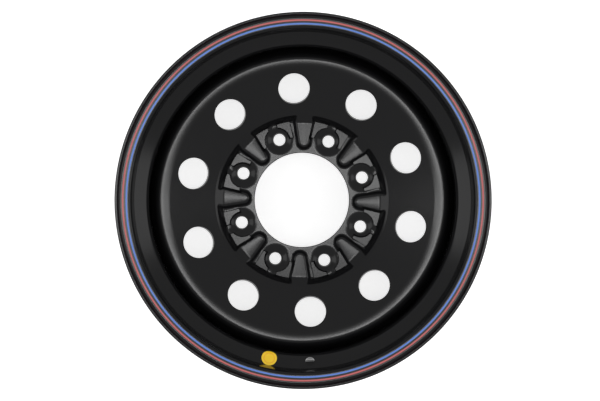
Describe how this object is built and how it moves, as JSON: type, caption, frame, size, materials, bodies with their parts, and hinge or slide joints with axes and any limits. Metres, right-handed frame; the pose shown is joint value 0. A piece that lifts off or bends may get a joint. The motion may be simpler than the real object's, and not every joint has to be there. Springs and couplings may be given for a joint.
{
  "type": "steel wheel",
  "caption": "Black steel disc wheel: drop-centre rim with curled flanges and a welded, ribbed and vented disc with a centre bore and stud holes. Carries a tyre on a hub.",
  "frame": {"origin": "on the wheel's axis, in the plane of the mounting face at the back of the disc", "axes": "+Z along the wheel's axis, out of the outboard face; +X along the middle of one rib"},
  "size_m": [0.4712, 0.4712, 0.2292],
  "materials": {
    "black_paint": "satin black paint on steel",
    "red_stripe": "satin",
    "blue_stripe": "satin",
    "yellow_label": "glossy film"
  },
  "bodies": {
    "root": {"rim_outboard_flange": "black_paint", "rim_outboard_seat": "black_paint", "rim_well_wall": "black_paint", "rim_well": "black_paint", "rim_ramp": "black_paint", "rim_barrel": "black_paint", "rim_inboard_flange": "black_paint", "disc": "black_paint", "disc_welds": "black_paint", "red_pinstripe": "red_stripe", "blue_pinstripe": "blue_stripe", "yellow_sticker": "yellow_label"}
  },
  "joints": []
}
